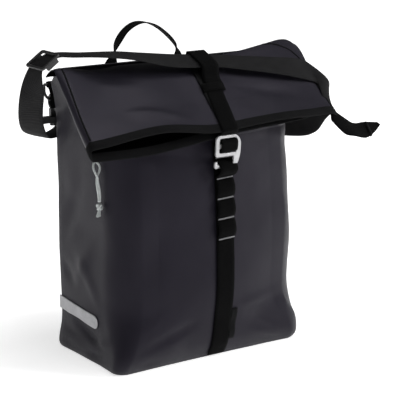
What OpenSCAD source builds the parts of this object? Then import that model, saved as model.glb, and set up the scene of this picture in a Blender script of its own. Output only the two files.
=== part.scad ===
// Roll-top pannier bag for a bicycle luggage carrier.
// Origin at the centre of the base, X across the bag, front towards -Y, +Z up, millimetres.

/* [Bag] */
// Width of the bag body
body_w = 310; // [300:1:320]
// Distance from the centre of the base to the back panel
back_y = 82; // [80:1:84]
// Furthest forward point of the rounded front panel
front_y = -109; // [-110:1:-107]
// Radius of the rounded front corners
corner_r = 60; // [56:1:62]
// Thickness of the coated fabric walls
wall_t = 3; // [2:0.5:3]
// Height of the stiff back panel
back_h = 392; // [388:1:394]
// Height of the side panels
side_h = 328; // [322:1:330]
// Height of the front panel
front_h = 314; // [306:1:315]

/* [Roll top] */
// Height of the fold line
ridge_z = 431; // [428:1:434]
// Depth of the fold line
ridge_y = -10; // [-14:1:-8]
// Length of the folded collar from fold to lip
collar_len = 145; // [140:1:148]
// Angle of the folded collar below horizontal
collar_pitch = 41; // [40:0.5:42]
// Width of the flattened mouth
collar_w = 416; // [408:1:418]
// Spacing of the two collar layers
mouth_gap = 9.5; // [9:0.5:10]

/* [Webbing] */
// Width of the closure webbing
closure_w = 30; // [28:1:31]
// Width of the shoulder strap
strap_w = 38; // [36:1:39]
// Thickness of the webbing
web_t = 1.8; // [1.6:0.1:2]
// Spacing of the bar tacks on the front webbing
tack_pitch = 30; // [29:0.5:31]

/* [Rack fitting] */
// Largest carrier tube that the hooks take
rack_tube_d = 16; // [14:1:16]
// Height of the hook rail above the base
rail_z = 350; // [346:1:352]
// Length of the hook rail
rail_len = 270; // [266:1:276]
// Spacing of the two rack hooks
hook_spacing = 170; // [160:2:180]
// Height of the lower rail above the base
lower_z = 120; // [110:1:130]

/* [Hidden] */
$fn = 48;

half_w = body_w / 2;
arc_x = half_w - corner_r;              // where the corner arcs meet the front
arc_y = -35;                            // centre of the corner arcs
front_sag = -front_y - (corner_r - arc_y);
front_r = (arc_x * arc_x + front_sag * front_sag) / (2 * front_sag);
front_half_angle = asin(arc_x / front_r) - 0.1;
gap = 0.3;                              // air between pieces that only touch

// Directions of the folded collar: along it, away from the fold, and square to it
along = [0, -cos(collar_pitch), -sin(collar_pitch)];
above = [0, -sin(collar_pitch), cos(collar_pitch)];
fold = [0, ridge_y, ridge_z];
inner_top = -wall_t + 0.5 - mouth_gap;  // outer face of the inner layer, from the fold
throat_top = inner_top - 4.5;

function unit(v) = v / norm(v);
function on_collar(x, s, h) = fold + [x, 0, 0] + along * s + above * h;
function ring_tangent(path, i) =
    unit(path[min(i + 1, len(path) - 1)][0] - path[max(i - 1, 0)][0]);

// Flat strip through a list of [centre, half-width vector]
module ribbon(path, thick = web_t) {
    last = len(path) - 1;
    rings = [for (i = [0:last])
        let (c = path[i][0], w = path[i][1], n = unit(cross(ring_tangent(path, i), w)) * thick / 2)
        each [c - w - n, c + w - n, c + w + n, c - w + n]];
    sides = [for (i = [0:last - 1], k = [0:3])
        let (a = 4 * i + k, b = 4 * i + (k + 1) % 4)
        each [[a, a + 4, b + 4], [a, b + 4, b]]];
    start_cap = [[0, 1, 2], [0, 2, 3]];
    end_cap = [[4 * last + 3, 4 * last + 2, 4 * last + 1], [4 * last + 3, 4 * last + 1, 4 * last]];
    polyhedron(points = rings, faces = concat(sides, start_cap, end_cap), convexity = 6);
}

// Round tube of 8 sides through a list of points
module tube(points, radius) {
    last = len(points) - 1;
    path = [for (q = points) [q, [0, 0, 0]]];
    rings = [for (i = [0:last])
        let (t = ring_tangent(path, i), u = unit(cross(t, [0.2, 1, 0.1])), v = cross(t, u))
        each [for (k = [0:7]) points[i] + radius * (cos(45 * k) * u + sin(45 * k) * v)]];
    sides = [for (i = [0:last - 1], k = [0:7])
        let (a = 8 * i + k, b = 8 * i + (k + 1) % 8)
        each [[a, a + 8, b + 8], [a, b + 8, b]]];
    start_cap = [for (k = [1:6]) [0, k, k + 1]];
    end_cap = [for (k = [1:6]) [8 * last, 8 * last + k + 1, 8 * last + k]];
    polyhedron(points = rings, faces = concat(sides, start_cap, end_cap), convexity = 6);
}

// Flat plate between two edges, each given by its left and right ends
module plate(low_left, low_right, high_left, high_right, thick) {
    n = unit(cross(low_right - low_left, high_left - low_left)) * thick;
    p = [low_left, low_right, high_right, high_left];
    points = concat(p, [for (q = p) q + n]);
    faces = [[0, 1, 2], [0, 2, 3], [4, 6, 5], [4, 7, 6], [0, 5, 1], [0, 4, 5],
             [1, 6, 2], [1, 5, 6], [2, 7, 3], [2, 6, 7], [3, 4, 0], [3, 7, 4]];
    polyhedron(points = points, faces = faces);
}

// Block placed in the directions of the folded collar
module collar_block(x0, x1, s0, s1, h0, h1) {
    translate(fold)
        rotate([collar_pitch, 0, 0])
            translate([x0, -s1, h0])
                cube([x1 - x0, s1 - s0, h1 - h0]);
}

// Wall that bends round a vertical axis
module arc_wall(centre, r_out, thick, from, sweep, z0, z1) {
    translate([centre.x, centre.y, z0])
        rotate([0, 0, from])
            rotate_extrude(angle = sweep, $fn = 96)
                translate([r_out - thick, 0])
                    square([thick, z1 - z0]);
}

// ---- Bag body ----

module base_outline() {
    translate([-half_w, arc_y])
        square([body_w, back_y - arc_y]);
    for (side = [-1, 1])
        translate([side * arc_x, arc_y])
            circle(corner_r, $fn = 96);
    translate([-arc_x, arc_y - corner_r])
        square([2 * arc_x, corner_r]);
    intersection() {
        translate([0, front_y + front_r])
            circle(front_r, $fn = 360);
        translate([-arc_x, front_y - 1])
            square([2 * arc_x, front_sag + 2]);
    }
}

module base_panel() {
    color([0.16, 0.16, 0.18])
        linear_extrude(wall_t)
            base_outline();
}

module back_panel() {
    color([0.16, 0.16, 0.18])
        difference() {
            translate([-half_w, back_y - wall_t, wall_t])
                cube([body_w, wall_t, back_h - wall_t]);
            fixing_holes();
        }
}

module front_panel() {
    color([0.16, 0.16, 0.18])
        arc_wall([0, front_y + front_r], front_r, wall_t, -90 - front_half_angle,
                 2 * front_half_angle, wall_t, front_h);
}

// Side panel with the rounded front corner; side is -1 on the left, 1 on the right
module side_panel(side) {
    color([0.17, 0.17, 0.19]) {
        arc_wall([side * arc_x, arc_y], corner_r, wall_t, side > 0 ? -90 : 180, 90, wall_t, side_h);
        translate([side > 0 ? half_w - wall_t : -half_w, arc_y, wall_t])
            cube([wall_t, back_y - wall_t - arc_y, side_h - wall_t]);
    }
}

module side_panel_left() { side_panel(-1); }
module side_panel_right() { side_panel(1); }

module back_stiffener() {
    board_w = body_w - 2 * wall_t - 8;
    board_t = 2.5;
    color([0.1, 0.1, 0.1])
        difference() {
            translate([-board_w / 2, back_y - wall_t - board_t - gap, wall_t + gap])
                cube([board_w, board_t, back_h - wall_t - 6]);
            fixing_holes();
        }
}

module throat_front() {
    thick = 2.5;
    low = collar_len - 10;
    color([0.14, 0.14, 0.16])
        plate(on_collar(-150, low, throat_top - thick), on_collar(150, low, throat_top - thick),
              on_collar(-200, 18, throat_top - thick), on_collar(200, 18, throat_top - thick), thick);
}

module throat_back() {
    thick = 2.5;
    color([0.14, 0.14, 0.16])
        plate([194, ridge_y + 22, 420], [-194, ridge_y + 22, 420],
              [152, back_y - 2, back_h + 1], [-152, back_y - 2, back_h + 1], -thick);
}

// Gusset that spreads from the side panel out to the end of the fold
module ear(side) {
    x0 = side * (half_w - 1);
    x1 = side * 194;
    front = [x0, -78, side_h + 2];
    rear = [x0, back_y - 6, side_h + 2];
    top_front = [x1, ridge_y + 4, 400];
    top_rear = [x1, ridge_y + 12, 404];
    color([0.15, 0.15, 0.17])
        plate(side > 0 ? front : rear, side > 0 ? rear : front,
              side > 0 ? top_front : top_rear, side > 0 ? top_rear : top_front, 2.5);
}

module ear_left() { ear(-1); }
module ear_right() { ear(1); }

// ---- Trim on the body ----

module reflector(side) {
    z0 = 69;
    color([0.72, 0.71, 0.74])
        translate([side * (half_w + 0.5), 0, 0])
            rotate([90, 0, 90])
                linear_extrude(0.8, center = true)
                    hull() {
                        translate([-20, z0 - 5])
                            circle(9.5);
                        translate([78, z0 - 9.5])
                            square([1.5, 19]);
                    }
}

module reflector_left() { reflector(-1); }
module reflector_right() { reflector(1); }

web_x = 4;                  // centre of the front webbing
web_y = front_y - 0.3;      // face that the front webbing lies on
tack_z = [for (i = [0:4]) 183 + tack_pitch * i];

module daisy_webbing() {
    color([0.06, 0.06, 0.06])
        translate([web_x - closure_w / 2, web_y - web_t, 2])
            cube([closure_w, web_t, front_h + 2]);
}

// One webbing loop that stands off between two bar tacks
module loop_band(z0, z1, lift) {
    y = web_y - web_t - 0.2;
    steps = 8;
    path = [for (i = [0:steps])
        let (f = i / steps)
        [[web_x, y - web_t / 2 - lift * sin(180 * f), z0 + (z1 - z0) * f], [closure_w / 2, 0, 0]]];
    ribbon(path);
}

module daisy_loops() {
    color([0.08, 0.08, 0.08])
        for (i = [0:2])
            loop_band(tack_z[i] + 2.5, tack_z[i + 1] - 2.5, 4);
}

module hook_loop() {
    color([0.08, 0.08, 0.08])
        loop_band(tack_z[3] + 3.5, tack_z[4] - 3.5, 12);
}

module bar_tacks() {
    color([0.7, 0.7, 0.72])
        for (z = tack_z)
            translate([web_x - 13, web_y - web_t - 3.2, z - 1.2])
                cube([26, 3, 2.4]);
}

module side_tag() {
    color([0.05, 0.05, 0.05])
        translate([web_x + closure_w / 2 + gap, web_y - 1.2, 26])
            cube([12, 1.2, 48]);
}

// ---- Front pocket zip ----

zip_z = 316;
zip_r = corner_r + 1.4;         // outer face of the zip tape
zip_angle = 184;                // where the slider stands at rest
puller_r = zip_r + 5.6;         // radius at which the pull hangs
zip_centre = [-arc_x, arc_y, 0];

function at_zip(r, z, a = zip_angle) = zip_centre + [r * cos(a), r * sin(a), z];

module zip_tape() {
    color([0.05, 0.05, 0.05])
        arc_wall(zip_centre, zip_r, 1.2, 176, 90, zip_z - 8, zip_z + 8);
}

module zip_slider() {
    color([0.1, 0.1, 0.1]) {
        translate(at_zip(zip_r + 0.4, zip_z - 6))
            rotate([0, 0, zip_angle])
                translate([0, -4.5, 0])
                    cube([3.6, 9, 12]);
        translate(at_zip(zip_r + 3.8, zip_z + 2))
            rotate([0, 0, zip_angle])
                translate([0, -1, 0])
                    cube([2.8, 2, 3]);
    }
}

module zip_puller() {
    color([0.04, 0.04, 0.04])
        translate(at_zip(puller_r, zip_z - 16))
            rotate([0, 0, zip_angle])
                translate([-0.6, -1.6, 0])
                    cube([1.2, 3.2, 17]);
}

// Route of the doubled pull cord, hanging from the puller
cord_route = [[-162, -40, 299], [-163, -42, 288], [-163, -43, 276], [-163, -44, 264],
              [-163, -45, 252], [-163, -46, 240]];

module pull_cord() {
    color([0.82, 0.84, 0.84])
        tube(cord_route, 1.5);
}

module pull_knot() {
    color([0.82, 0.84, 0.84])
        translate([-163, -46, 222])
            cylinder(h = 17.8, r1 = 3.5, r2 = 5, $fn = 24);
}

// ---- Folded collar ----

module collar_outer() {
    color([0.2, 0.2, 0.22])
        collar_block(-collar_w / 2, collar_w / 2, 3, collar_len - 12, -2.5, 0);
}

module collar_inner() {
    color([0.15, 0.15, 0.17])
        collar_block(-collar_w / 2 + 5, collar_w / 2 - 5, 12, collar_len - 12,
                     inner_top - 2.5, inner_top);
}

module collar_edge(side) {
    x = side * (collar_w / 2 - 2.5);
    color([0.2, 0.2, 0.22])
        collar_block(x - 2.5, x + 2.5, 8, collar_len - 14, inner_top + gap, -2.5 - gap);
}

module collar_edge_left() { collar_edge(-1); }
module collar_edge_right() { collar_edge(1); }

module outer_lip_binding() {
    color([0.05, 0.05, 0.06])
        collar_block(-collar_w / 2, collar_w / 2, collar_len - 12 + gap, collar_len, -3.3, 0.5);
}

module inner_lip_binding() {
    color([0.05, 0.05, 0.06])
        collar_block(-collar_w / 2 + 5, collar_w / 2 - 5, collar_len - 12 + gap, collar_len + 1,
                     inner_top - 3, inner_top + 0.5);
}

// ---- Closure ----

closure_half = [closure_w / 2, 0, 0];
hook_y = -123.5;               // middle bar of the closure hook
hook_bar_z = 318;
hook_tilt = 18;                // the hook leans in so that its arm passes behind the loop
closure_path = [
    [on_collar(24, 4, 1.6), closure_half], [on_collar(20, 40, 1.6), closure_half],
    [on_collar(14, 80, 1.6), closure_half], [on_collar(8, 120, 1.6), closure_half],
    [on_collar(5, collar_len + 1, 1.6), closure_half]];

module closure_webbing() {
    color([0.06, 0.06, 0.06])
        ribbon(closure_path);
}

module at_hook() {
    translate([web_x, hook_y, hook_bar_z])
        rotate([hook_tilt, 0, 0])
            children();
}

// End of the closure webbing: hangs from the lip and wraps the hook's middle bar
module closure_loop() {
    loop_w = closure_w - 2;
    color([0.06, 0.06, 0.06]) {
        at_hook()
            translate([-loop_w / 2, 0, 0]) {
                translate([0, -5.5, -9.2])
                    cube([loop_w, web_t, 18.4]);
                translate([0, 3.7, -9.2])
                    cube([loop_w, web_t, 26.8]);
                for (z = [-9.2, 7.4])
                    translate([0, -5.5, z])
                        cube([loop_w, 11, web_t]);
            }
    }
}

module closure_tail() {
    color([0.05, 0.05, 0.05])
        ribbon([[on_collar(-8, 18, 1.4), [6, 0, 0]], [on_collar(-10, 80, 1.4), [4, 0, 0]],
                [on_collar(-13, 138, 1.5), [1.6, 0, 0]]], 1.4);
}

module elastic_keeper() {
    color([0.1, 0.1, 0.1])
        difference() {
            collar_block(-18, 36, 54, 74, 0.2, 4.6);
            collar_block(-16.6, 34.6, 50, 78, 0.4, 3.4);
        }
}

module strap_keeper() {
    color([0.07, 0.07, 0.07])
        difference() {
            collar_block(8, 42, -4, 46, 2.9, 15.5);
            collar_block(4, 46, -1.6, 43.6, 4.4, 13.8);
        }
}

// Flat metal hook: a closed ring with a middle bar, and an open arm below it
module g_hook() {
    ring_w = 42;
    ring_h = 30;
    wire = 5;
    plate_t = 4;
    window_h = (ring_h - 6 - 2 * 4) / 2;
    arm_z = -ring_h / 2 - 16.5;
    color([0.82, 0.82, 0.83])
        at_hook()
            rotate([90, 0, 0])
                linear_extrude(plate_t, center = true) {
                    difference() {
                        square([ring_w, ring_h], center = true);
                        for (s = [-1, 1])
                            translate([0, s * (3 + window_h / 2)])
                                square([ring_w - 2 * wire, window_h], center = true);
                    }
                    translate([ring_w / 2 - wire, arm_z])
                        square([wire, 17]);
                    translate([-ring_w / 2, arm_z])
                        square([ring_w, wire]);
                    translate([-ring_w / 2, arm_z])
                        square([wire, 10]);
                }
}

module end_tab() {
    color([0.08, 0.08, 0.08])
        ribbon([[[206, -109, 328], [0, 3, 12]], [[222, -110, 318], [0, 4, 12]],
                [[238, -107, 310], [0, 5, 12]], [[258, -102, 306], [0, 6, 11]],
                [[284, -95, 305], [0, 5, 8]]], 3.6);
}

// ---- Shoulder strap ----

sw = strap_w / 2;
left_path = [
    [[-175, 12, 442], [0, -sw, 0]], [[-180, 14, 445.5], [0, -sw, 0]],
    [[-186, 16, 445.7], [0, -sw, 0]], [[-220, 16, 421.4], [0, -sw, 0]],
    [[-230, 20, 408], [6, -17, 0]], [[-233, 32, 388], [13, -12, 2]],
    [[-226, 50, 366], [17, -7, 0]], [[-212, 70, 344], [17, -8, 0]],
    [[-196, 88, 326], [13, -13, 2]], [[-178, 100, 314], [6, -17, 1]],
    [[-160, 106, 309], [0, -18, 0]], [[-142, 108, 311], [0, -17, 0]],
    [[-131, 107, 319], [0, -15, 0]], [[-130, 106, 329], [0, -13, 0]]];
over_slope = [8, 13, 11.4];
over_path = [
    [[-174, -24, 441], [0, sw, 0]], [[-130, -26, 440], [0, sw, 0]],
    [[-90, -27, 436], [0, sw, 0]], [[-50, -26, 431], [0, sw - 1, 4]],
    [on_collar(0, 20, 8.6), [0, 15, 11]], [on_collar(25, 20, 8.6), [0, 14.3, 12.4]],
    [on_collar(60, 24, 8.6), [1.5, 14.3, 12.4]], [on_collar(100, 34, 7), [5, 13.8, 12]],
    [on_collar(150, 52, 5), over_slope], [on_collar(190, 72, 5), over_slope],
    [on_collar(212, 90, 2), [6, 14, 9]], [[222, -86, 352], [3, 16, 6]],
    [[224, -84, 334], [0, 18, 0]]];
right_path = [
    [[221, -62, 316], [2, 8, 13]], [[215, -34, 306], [3, 3, 17]],
    [[207, 0, 302], [3, 2, 18]], [[200, 34, 301], [3, 2, 18]],
    [[192, 64, 302], [4, 3, 17]], [[182, 86, 305], [6, 8, 14]],
    [[166, 101, 308], [4, 15, 8]], [[148, 107, 310], [0, 18, 0]],
    [[138, 108, 313], [0, 17, 0]], [[131, 107, 319], [0, 15, 0]],
    [[130, 106, 329], [0, 13, 0]]];

module shoulder_strap_left() {
    color([0.08, 0.08, 0.08])
        ribbon(left_path);
}

module shoulder_strap_over() {
    color([0.08, 0.08, 0.08])
        ribbon(over_path);
}

module shoulder_strap_right() {
    color([0.08, 0.08, 0.08])
        ribbon(right_path);
}

// Adjuster: middle bar below the webbing, two outer bars above it, joined by the side bars
module tri_glide() {
    span = 50;
    reach = 34;
    side_bar = 5;
    tilt = atan2(20, 28);
    color([0.12, 0.12, 0.12])
        translate([-206, 16, 431.4])
            rotate([0, -tilt, 0]) {
                for (s = [-1, 1])
                    translate([-reach / 2, s * (span - side_bar) / 2 - side_bar / 2, -4.2])
                        cube([reach, side_bar, 8.4]);
                for (s = [-1, 1])
                    translate([s * (reach / 2 - 2.2) - 2.2, -span / 2, 1.3])
                        cube([4.4, span, 2.9]);
                translate([-2.5, -span / 2, -4.2])
                    cube([5, span, 2.9]);
            }
}

// ---- Handle, rings and clips on the back ----

handle_y = back_y + 3.4;
handle_path = [
    [[-52, handle_y, 391], [12, 0, 0]], [[-48, handle_y, 410], [10, 5, 0]],
    [[-44, handle_y, 428], [3, 10, 0]], [[-34, handle_y, 446], [2, 11, -1]],
    [[-18, handle_y, 460], [1, 11, 0]], [[0, handle_y, 465], [0, 11, 0]],
    [[18, handle_y, 460], [-1, 11, 0]], [[34, handle_y, 446], [-2, 11, 1]],
    [[44, handle_y, 428], [-3, 10, 0]], [[48, handle_y, 410], [-10, 5, 0]],
    [[52, handle_y, 391], [-12, 0, 0]]];

module carry_handle() {
    color([0.07, 0.07, 0.07])
        ribbon(handle_path, 2);
}

module handle_anchors() {
    color([0.07, 0.07, 0.07])
        for (x = [-52, 52])
            translate([x - 12.5, back_y + gap, 368])
                cube([25, 2.4, 22]);
}

ring_x = 150;
ring_y = back_y + 12;

module ring_tab(side) {
    color([0.07, 0.07, 0.07])
        difference() {
            translate([side * ring_x - 10, back_y + gap, 352])
                cube([20, 15.4, 40]);
            translate([side * ring_x - 11, back_y + gap + 1.8, 350])
                cube([22, 14, 30]);
            translate([side * ring_x - 15, ring_y, 386])
                rotate([0, 90, 0])
                    cylinder(h = 30, r = 2.3);
        }
}

module ring_tab_left() { ring_tab(-1); }
module ring_tab_right() { ring_tab(1); }

// Ring with a straight bar in the webbing tab and a bow that hangs below it
module d_ring(side) {
    bar_r = 2;
    bow_w = 15;
    color([0.1, 0.1, 0.1])
        translate([side * ring_x, ring_y, 386]) {
            translate([-bow_w, 0, 0])
                rotate([0, 90, 0])
                    cylinder(h = 2 * bow_w, r = bar_r);
            for (s = [-1, 1])
                translate([s * bow_w, 0, -8])
                    cylinder(h = 8, r = bar_r);
            translate([0, 0, -8])
                rotate([90, 0, 0])
                    rotate_extrude(angle = -180)
                        translate([bow_w, 0])
                            circle(bar_r, $fn = 32);
        }
}

module d_ring_left() { d_ring(-1); }
module d_ring_right() { d_ring(1); }

clip_y = back_y + 15;

module clip_base(side) {
    color([0.08, 0.08, 0.08])
        translate([side * ring_x, clip_y, 330])
            difference() {
                translate([-20, -5.4, 0])
                    cube([40, 10.8, 9]);
                translate([0, 0, -1])
                    cylinder(h = 11, r = 3.05);
            }
}

module clip_base_left() { clip_base(-1); }
module clip_base_right() { clip_base(1); }

// Swivel snap hook: stem turning in the base, and an open loop round the ring
loop_z = 360;
module snap_hook(side) {
    color([0.55, 0.55, 0.57])
        translate([side * ring_x, clip_y, 0]) {
            translate([0, 0, 326])
                cylinder(h = 18, r = 3);
            translate([0, 0, 326])
                cylinder(h = 3.6, r = 5);
            translate([-5, -3, 339.4])
                cube([10, 6, 11]);
            translate([0, 0, loop_z])
                rotate([90, 0, 90])
                    rotate([0, 0, -90])
                        rotate_extrude(angle = 270)
                            translate([10, 0])
                                circle(2.6, $fn = 24);
        }
}

module snap_hook_left() { snap_hook(-1); }
module snap_hook_right() { snap_hook(1); }

// Sprung gate that closes the hook's loop
module snap_gate(side) {
    color([0.5, 0.5, 0.52])
        translate([side * ring_x, clip_y, 0]) {
            translate([0, -9, 348.6])
                cylinder(h = 10, r = 1.6, $fn = 24);
            translate([-1.6, -9, 348.6])
                cube([3.2, 4.8, 3.2]);
        }
}

module snap_gate_left() { snap_gate(-1); }
module snap_gate_right() { snap_gate(1); }

// ---- Carrier fitting ----

rail_screw_x = [-130, -30, 30, 130];
lower_screw_x = [-62, 62];
rail_y = back_y + gap;
flange_y = rail_y + 5;
flange_t = 3;
flange_h = 24;

module screw_hole(x, z, r = 2.2) {
    translate([x, back_y + 20, z])
        rotate([90, 0, 0])
            cylinder(h = 40, r = r);
}

module fixing_holes() {
    for (x = rail_screw_x)
        screw_hole(x, rail_z);
    for (x = lower_screw_x)
        screw_hole(x, lower_z);
}

module hook_rail() {
    color([0.2, 0.2, 0.2])
        difference() {
            union() {
                translate([-rail_len / 2, rail_y, rail_z - 5])
                    cube([rail_len, 5, 10]);
                translate([-rail_len / 2, flange_y, rail_z - flange_h / 2])
                    cube([rail_len, flange_t, flange_h]);
            }
            for (x = rail_screw_x)
                screw_hole(x, rail_z);
        }
}

// Screws through the back: head outside, domed nut inside the stiffener
module through_screws(xs, z, head_y) {
    nut_y = back_y - 6.1;
    for (x = xs)
        translate([x, 0, z])
            rotate([-90, 0, 0]) {
                translate([0, 0, head_y])
                    cylinder(h = 2.4, r = 4);
                translate([0, 0, nut_y - 1])
                    cylinder(h = head_y - nut_y + 1.5, r = 2);
                translate([0, 0, nut_y - 4])
                    cylinder(h = 3.9, r = 4);
            }
}

module panel_screws() {
    color([0.6, 0.6, 0.62]) {
        through_screws(rail_screw_x, rail_z, flange_y + flange_t + 0.1);
        through_screws(lower_screw_x, lower_z, rail_y + 6.1);
    }
}

tube_r = rack_tube_d / 2;
hook_len = 24;                         // length of a rack hook along the rail
tube_y = flange_y + flange_t + 5 + tube_r;
tube_z = rail_z + 4;

module hook_profile() {
    seat_r = tube_r + 0.25;
    difference() {
        union() {
            translate([flange_y + flange_t + 0.3, rail_z - 17])
                square([4.6, 34]);
            translate([flange_y - 3.4, rail_z + flange_h / 2 + 0.3])
                square([8, 4.7]);
            translate([flange_y - 3.4, rail_z - flange_h / 2 - 5])
                square([8, 4.7]);
            for (s = [-1, 1])
                translate([flange_y - 3.4, rail_z + s * 11 - 3])
                    square([3.1, s > 0 ? 9 : 6]);
            translate([flange_y - 3.4, rail_z - 17])
                square([3.1, 9]);
            translate([tube_y, tube_z])
                circle(seat_r + 5);
            translate([tube_y + seat_r, tube_z - 14])
                square([5, 14]);
        }
        translate([tube_y, tube_z])
            circle(seat_r);
        translate([tube_y - seat_r, tube_z - 30])
            square([2 * seat_r, 30]);
        translate([flange_y - 0.3, rail_z - flange_h / 2 - 0.3])
            square([flange_t + 0.6, flange_h + 0.6]);
        translate([rail_y - 1, rail_z - 5.4])
            square([flange_y - rail_y + 1.2, 10.8]);
    }
}

latch_y = flange_y + flange_t + 2.9;
latch_z = tube_z - tube_r - 6.5;

module rack_hook(side) {
    color([0.1, 0.1, 0.1]) {
        translate([side * hook_spacing / 2 - hook_len / 2, 0, 0])
            rotate([90, 0, 90])
                linear_extrude(hook_len)
                    hook_profile();
        translate([side * (hook_spacing / 2 + hook_len / 2 - 1), latch_y, latch_z])
            rotate([0, side * 90, 0])
                cylinder(h = 7, r = 1.1);
    }
}

module rack_hook_left() { rack_hook(-1); }
module rack_hook_right() { rack_hook(1); }

// Sprung finger that closes the hook under the carrier tube
module hook_latch(side) {
    latch_w = 5;
    finger = 20;
    color([0.6, 0.12, 0.1])
        translate([side * (hook_spacing / 2 + hook_len / 2 + 0.4 + latch_w / 2), latch_y, latch_z])
            difference() {
                union() {
                    translate([-latch_w / 2, 0, -2.3])
                        cube([latch_w, finger, 4.6]);
                    rotate([0, 90, 0])
                        cylinder(h = latch_w, r = 2.3, center = true);
                }
                rotate([0, 90, 0])
                    cylinder(h = latch_w + 2, r = 1.15, center = true);
            }
}

module hook_latch_left() { hook_latch(-1); }
module hook_latch_right() { hook_latch(1); }

module lower_rail() {
    slot_half = 40;
    color([0.2, 0.2, 0.2])
        difference() {
            translate([-75, rail_y, lower_z - 13])
                cube([150, 6, 26]);
            translate([0, rail_y - 1, lower_z])
                rotate([-90, 0, 0])
                    linear_extrude(8)
                        hull()
                            for (s = [-1, 1])
                                translate([s * slot_half, 0])
                                    circle(3.4);
            translate([-slot_half - 8, rail_y - 1, lower_z - 8])
                cube([2 * slot_half + 16, 4.2, 16]);
            for (x = lower_screw_x)
                screw_hole(x, lower_z);
        }
}

module anchor_bolt() {
    color([0.6, 0.6, 0.62])
        translate([0, 0, lower_z])
            rotate([-90, 0, 0]) {
                translate([0, 0, rail_y + 0.4])
                    cylinder(h = 2.4, r = 7);
                translate([0, 0, rail_y + 0.4])
                    cylinder(h = 16, r = 3);
                translate([0, 0, rail_y + 12.6])
                    cylinder(h = 3.8, r = 6.5);
            }
}

module anchor_arm() {
    color([0.1, 0.1, 0.1])
        translate([0, rail_y + 6.4, lower_z])
            rotate([-90, 0, 0])
                difference() {
                    linear_extrude(5.8)
                        hull() {
                            circle(10);
                            translate([0, 32])
                                circle(7);
                        }
                    translate([0, 0, -1])
                        cylinder(h = 8, r = 3.05);
                    translate([6, 30, -1])
                        cylinder(h = 8, r = 6);
                }
}

base_panel();
back_panel();
front_panel();
side_panel_left();
side_panel_right();
back_stiffener();
throat_front();
throat_back();
ear_left();
ear_right();
reflector_left();
reflector_right();
daisy_webbing();
daisy_loops();
hook_loop();
bar_tacks();
side_tag();
zip_tape();
zip_slider();
zip_puller();
pull_cord();
pull_knot();
collar_outer();
collar_inner();
collar_edge_left();
collar_edge_right();
outer_lip_binding();
inner_lip_binding();
closure_webbing();
closure_tail();
elastic_keeper();
strap_keeper();
closure_loop();
g_hook();
end_tab();
shoulder_strap_left();
shoulder_strap_over();
shoulder_strap_right();
tri_glide();
carry_handle();
handle_anchors();
ring_tab_left();
ring_tab_right();
d_ring_left();
d_ring_right();
clip_base_left();
clip_base_right();
snap_hook_left();
snap_hook_right();
snap_gate_left();
snap_gate_right();
hook_rail();
panel_screws();
rack_hook_left();
rack_hook_right();
hook_latch_left();
hook_latch_right();
lower_rail();
anchor_bolt();
anchor_arm();
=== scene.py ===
import math

import bmesh
import bpy
import numpy as np
from mathutils import Matrix, Vector, noise


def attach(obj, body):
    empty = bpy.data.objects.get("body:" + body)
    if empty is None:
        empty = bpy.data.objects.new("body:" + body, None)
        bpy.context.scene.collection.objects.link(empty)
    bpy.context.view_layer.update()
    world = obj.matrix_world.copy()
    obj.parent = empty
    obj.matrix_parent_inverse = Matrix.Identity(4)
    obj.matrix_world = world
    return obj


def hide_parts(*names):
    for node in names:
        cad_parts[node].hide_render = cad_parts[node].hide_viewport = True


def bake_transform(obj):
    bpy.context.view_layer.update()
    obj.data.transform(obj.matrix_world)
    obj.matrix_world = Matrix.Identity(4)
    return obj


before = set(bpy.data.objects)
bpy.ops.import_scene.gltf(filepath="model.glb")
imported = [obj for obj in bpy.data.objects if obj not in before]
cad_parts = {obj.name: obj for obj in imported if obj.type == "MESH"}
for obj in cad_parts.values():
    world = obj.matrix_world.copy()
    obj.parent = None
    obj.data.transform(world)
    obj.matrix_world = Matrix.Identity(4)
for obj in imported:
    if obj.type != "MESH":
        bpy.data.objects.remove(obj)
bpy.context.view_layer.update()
MM = 0.001

# Shapes are in millimetres. The folded collar starts at FOLD; ALONG runs down it and
# ABOVE stands square to it.
FOLD = np.array([0.0, -10.0, 431.0])
ALONG = np.array([0.0, -0.7547, -0.6561])
ABOVE = np.array([0.0, -0.6561, 0.7547])


# ---------------------------------------------------------------- camera
def add_camera():
    """Long lens at the photo's place; both points in metres."""
    eye, target = Vector((-1.159, -1.7675, 0.7336)), Vector((0.0377, 0.0, 0.2093))
    data = bpy.data.cameras.new("camera")
    data.lens, data.sensor_width = 135.0, 36.0
    obj = bpy.data.objects.new("camera", data)
    bpy.context.collection.objects.link(obj)
    obj.location = eye
    obj.rotation_euler = (target - eye).to_track_quat("-Z", "Y").to_euler()
    bpy.context.scene.camera = obj


add_camera()


# ---------------------------------------------------------------- helpers
def smooth(a, b, x):
    """0 at a, 1 at b, level at both ends; a may be the larger."""
    t = min(max((x - a) / (b - a), 0.0), 1.0)
    return t * t * (3 - 2 * t)


def curve_table(pairs, x):
    """Smooth interpolation through (x, y) pairs."""
    xs = [p[0] for p in pairs]
    if x <= xs[0]:
        return pairs[0][1]
    if x >= xs[-1]:
        return pairs[-1][1]
    i = int(np.searchsorted(xs, x)) - 1
    x0, y0 = pairs[i]
    x1, y1 = pairs[i + 1]

    def slope(k):
        a, b = max(k - 1, 0), min(k + 1, len(pairs) - 1)
        return (pairs[b][1] - pairs[a][1]) / (pairs[b][0] - pairs[a][0])

    h = x1 - x0
    t = (x - x0) / h
    m0, m1 = slope(i) * h, slope(i + 1) * h
    return ((2 * t**3 - 3 * t**2 + 1) * y0 + (t**3 - 2 * t**2 + t) * m0
            + (-2 * t**3 + 3 * t**2) * y1 + (t**3 - t**2) * m1)


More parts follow.
